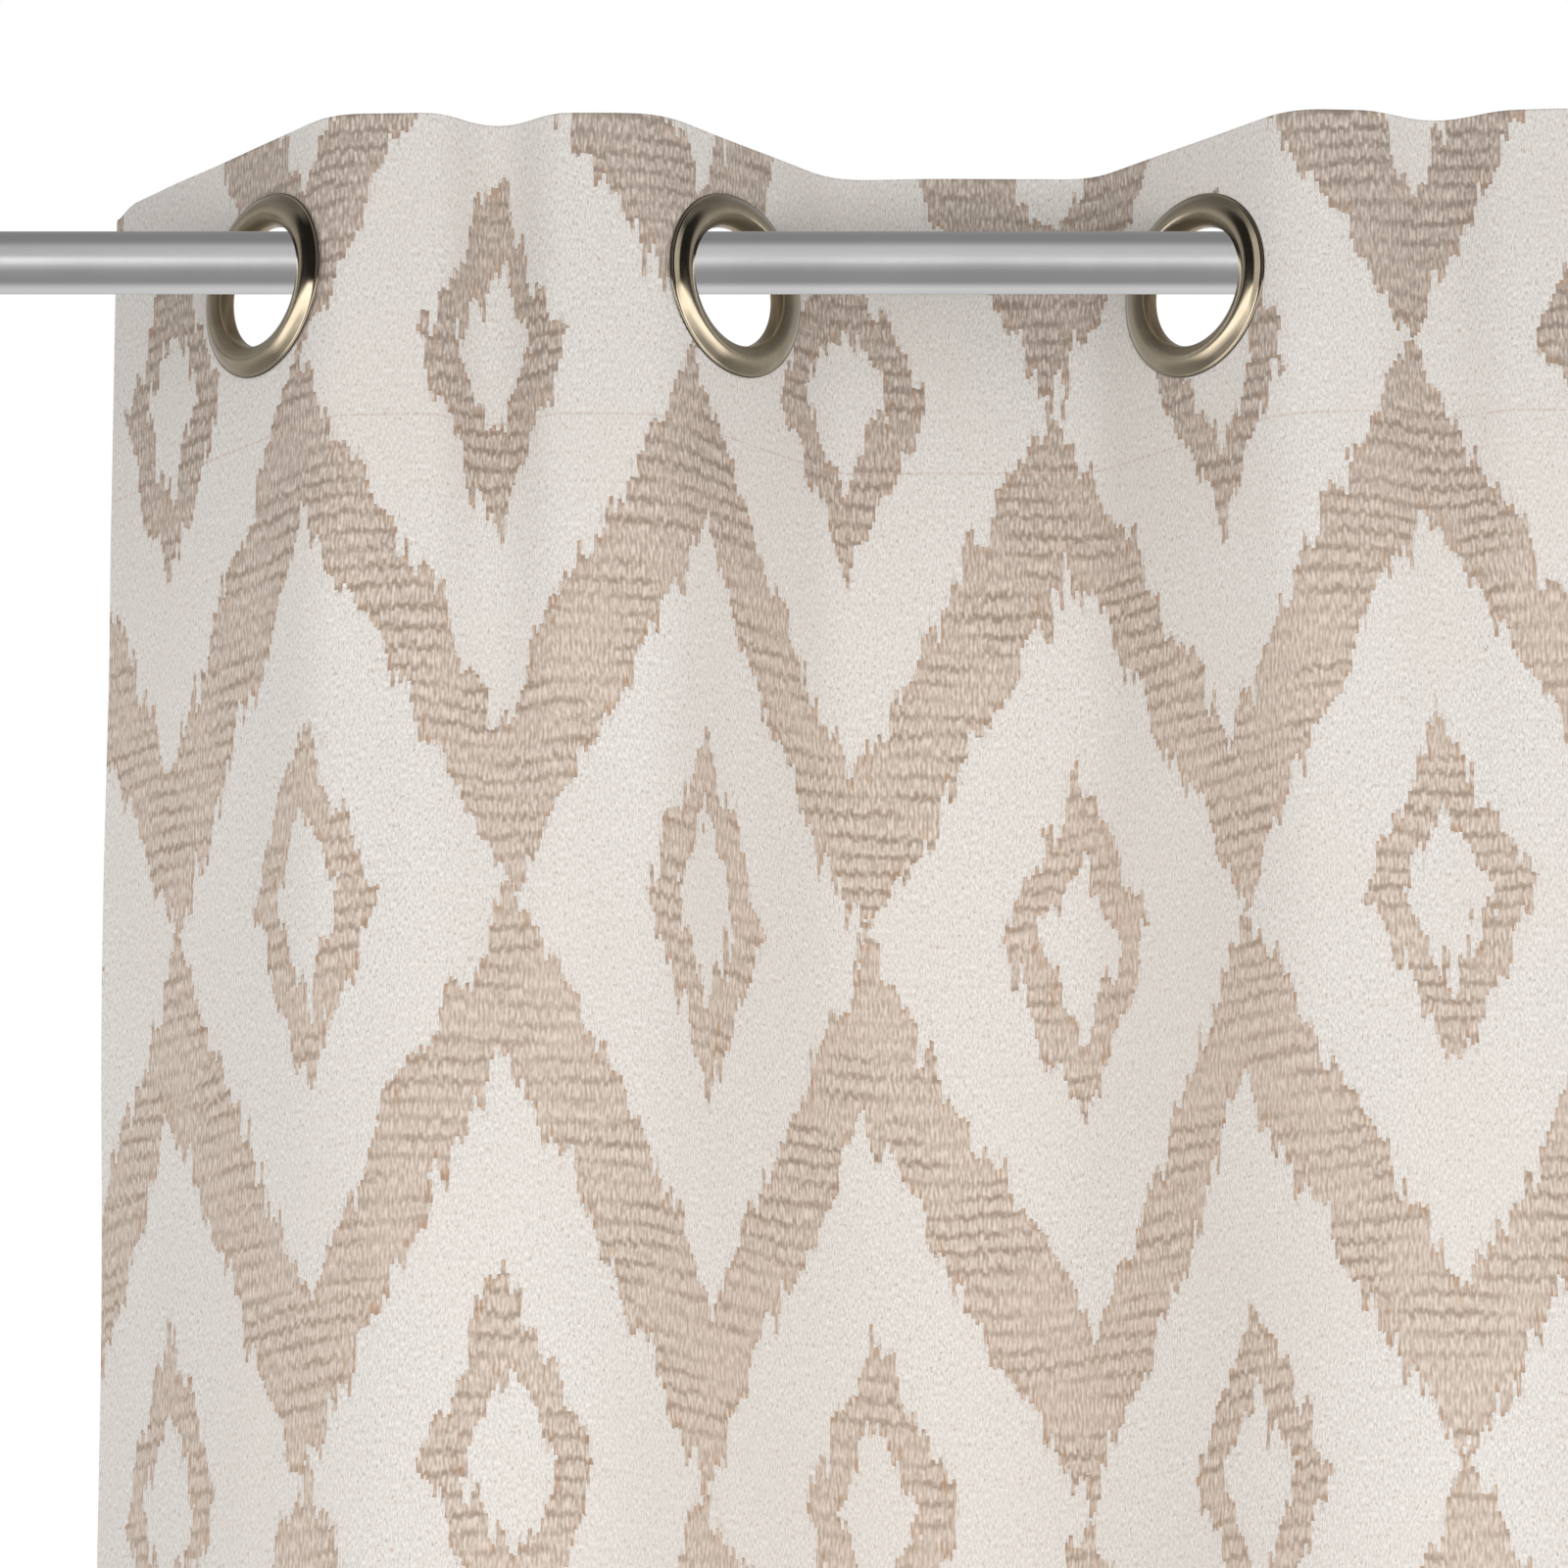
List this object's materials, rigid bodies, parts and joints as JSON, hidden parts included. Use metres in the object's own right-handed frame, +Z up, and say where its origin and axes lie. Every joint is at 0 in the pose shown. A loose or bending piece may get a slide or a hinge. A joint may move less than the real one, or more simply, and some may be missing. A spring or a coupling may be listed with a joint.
{
  "type": "eyelet curtain on a rod",
  "caption": "Eyelet curtain hanging in wave folds on a wall-mounted rod; it draws along the rod, folding at each fold line, and the finials pull off.",
  "frame": {"origin": "centre of the four wall-screw holes of the two brackets, on the face of the wall", "axes": "+X along the rod to the right, +Y into the wall, +Z up; the room is on the -Y side"},
  "size_m": [1.476, 0.145, 2.6005],
  "materials": {
    "curtain_cloth": "woven jacquard, off-white boucle figure on a ribbed pinkish-beige ground",
    "heading_tape": "stiff woven tape, sewn inside the hem",
    "eyelet_nickel": "dark satin nickel with a bright rolled lip",
    "rod_steel": "satin",
    "finial_steel": "satin",
    "bracket_steel": "satin",
    "screw_steel": "knurled"
  },
  "bodies": {
    "root": {"rod": "rod_steel", "bracket_plate_left": "bracket_steel", "bracket_plate_right": "bracket_steel", "bracket_arm_left": "bracket_steel", "bracket_arm_right": "bracket_steel", "bracket_cradle_left": "bracket_steel", "bracket_cradle_right": "bracket_steel", "thumb_screw_left": "screw_steel", "thumb_screw_right": "screw_steel"},
    "finial_left": {"finial_left": "finial_steel"},
    "finial_right": {"finial_right": "finial_steel"},
    "panel_1": {"cloth_panel_1": "curtain_cloth", "heading_tape_1": "heading_tape", "eyelet_front_1": "eyelet_nickel", "eyelet_back_1": "eyelet_nickel"},
    "panel_2": {"cloth_panel_2": "curtain_cloth", "heading_tape_2": "heading_tape", "eyelet_front_2": "eyelet_nickel", "eyelet_back_2": "eyelet_nickel"},
    "panel_3": {"cloth_panel_3": "curtain_cloth", "heading_tape_3": "heading_tape", "eyelet_front_3": "eyelet_nickel", "eyelet_back_3": "eyelet_nickel"},
    "panel_4": {"cloth_panel_4": "curtain_cloth", "heading_tape_4": "heading_tape", "eyelet_front_4": "eyelet_nickel", "eyelet_back_4": "eyelet_nickel"},
    "panel_5": {"cloth_panel_5": "curtain_cloth", "heading_tape_5": "heading_tape", "eyelet_front_5": "eyelet_nickel", "eyelet_back_5": "eyelet_nickel"},
    "panel_6": {"cloth_panel_6": "curtain_cloth", "heading_tape_6": "heading_tape", "eyelet_front_6": "eyelet_nickel", "eyelet_back_6": "eyelet_nickel"},
    "panel_7": {"cloth_panel_7": "curtain_cloth", "heading_tape_7": "heading_tape", "eyelet_front_7": "eyelet_nickel", "eyelet_back_7": "eyelet_nickel"},
    "panel_8": {"cloth_panel_8": "curtain_cloth", "heading_tape_8": "heading_tape", "eyelet_front_8": "eyelet_nickel", "eyelet_back_8": "eyelet_nickel"}
  },
  "joints": [
    {"name": "curtain_draw", "type": "hinge", "parent": "root", "child": "panel_8", "pos_m": [0.62, -0.11, 0], "axis": [0, 0, 1], "range_deg": [0, 47]},
    {"name": "fold_7_8", "type": "hinge", "parent": "panel_8", "child": "panel_7", "pos_m": [0.546, -0.143, 0], "axis": [0, 0, 1], "range_deg": [-94, 0]},
    {"name": "fold_6_7", "type": "hinge", "parent": "panel_7", "child": "panel_6", "pos_m": [0.398, -0.077, 0], "axis": [0, 0, 1], "range_deg": [0, 94]},
    {"name": "fold_5_6", "type": "hinge", "parent": "panel_6", "child": "panel_5", "pos_m": [0.25, -0.143, 0], "axis": [0, 0, 1], "range_deg": [-94, 0]},
    {"name": "fold_4_5", "type": "hinge", "parent": "panel_5", "child": "panel_4", "pos_m": [0.102, -0.077, 0], "axis": [0, 0, 1], "range_deg": [0, 94]},
    {"name": "fold_3_4", "type": "hinge", "parent": "panel_4", "child": "panel_3", "pos_m": [-0.046, -0.143, 0], "axis": [0, 0, 1], "range_deg": [-94, 0]},
    {"name": "fold_2_3", "type": "hinge", "parent": "panel_3", "child": "panel_2", "pos_m": [-0.194, -0.077, 0], "axis": [0, 0, 1], "range_deg": [0, 94]},
    {"name": "fold_1_2", "type": "hinge", "parent": "panel_2", "child": "panel_1", "pos_m": [-0.342, -0.143, 0], "axis": [0, 0, 1], "range_deg": [-94, 0]},
    {"name": "finial_left_pull", "type": "slide", "parent": "root", "child": "finial_left", "axis": [-1, 0, 0], "range_m": [0, 0.05]},
    {"name": "finial_right_pull", "type": "slide", "parent": "root", "child": "finial_right", "axis": [1, 0, 0], "range_m": [0, 0.05]}
  ],
  "couplings": [
    {"joint": "fold_7_8", "follows": "curtain_draw", "ratio": -2},
    {"joint": "fold_6_7", "follows": "curtain_draw", "ratio": 2},
    {"joint": "fold_5_6", "follows": "curtain_draw", "ratio": -2},
    {"joint": "fold_4_5", "follows": "curtain_draw", "ratio": 2},
    {"joint": "fold_3_4", "follows": "curtain_draw", "ratio": -2},
    {"joint": "fold_2_3", "follows": "curtain_draw", "ratio": 2},
    {"joint": "fold_1_2", "follows": "curtain_draw", "ratio": -2}
  ]
}
